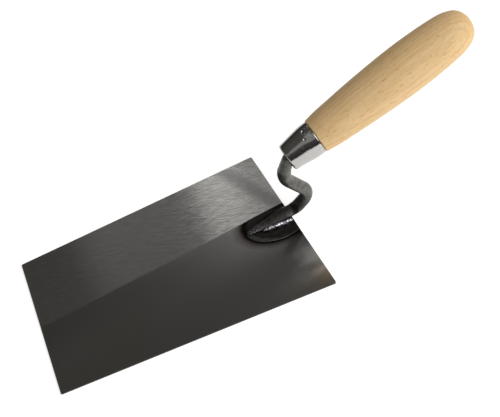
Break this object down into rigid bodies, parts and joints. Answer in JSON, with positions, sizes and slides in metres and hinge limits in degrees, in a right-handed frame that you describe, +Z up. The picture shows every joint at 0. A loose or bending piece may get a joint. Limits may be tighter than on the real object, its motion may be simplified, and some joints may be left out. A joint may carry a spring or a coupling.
{
  "type": "brick trowel",
  "caption": "Masonry hand trowel: flat tapered steel blade on a welded S-bent neck, with a ferrule and a turned wooden handle.",
  "frame": {"origin": "centre of the blade's flat underside", "axes": "+X from the blade's toe toward the handle, +Y across the blade, +Z up from the blade toward the handle"},
  "size_m": [0.3114, 0.128, 0.1166],
  "materials": {
    "blade_steel": "ground along its length, semi-bright",
    "neck_steel": "dark forged steel under clear lacquer",
    "weld_metal": "rippled weld bead, bright on its crests",
    "ferrule_nickel": "polished nickel plate",
    "handle_beech": "turned beech, satin lacquer"
  },
  "bodies": {
    "root": {"blade": "blade_steel", "neck": "neck_steel", "weld_left": "weld_metal", "weld_right": "weld_metal", "ferrule": "ferrule_nickel", "handle": "handle_beech"}
  },
  "joints": []
}
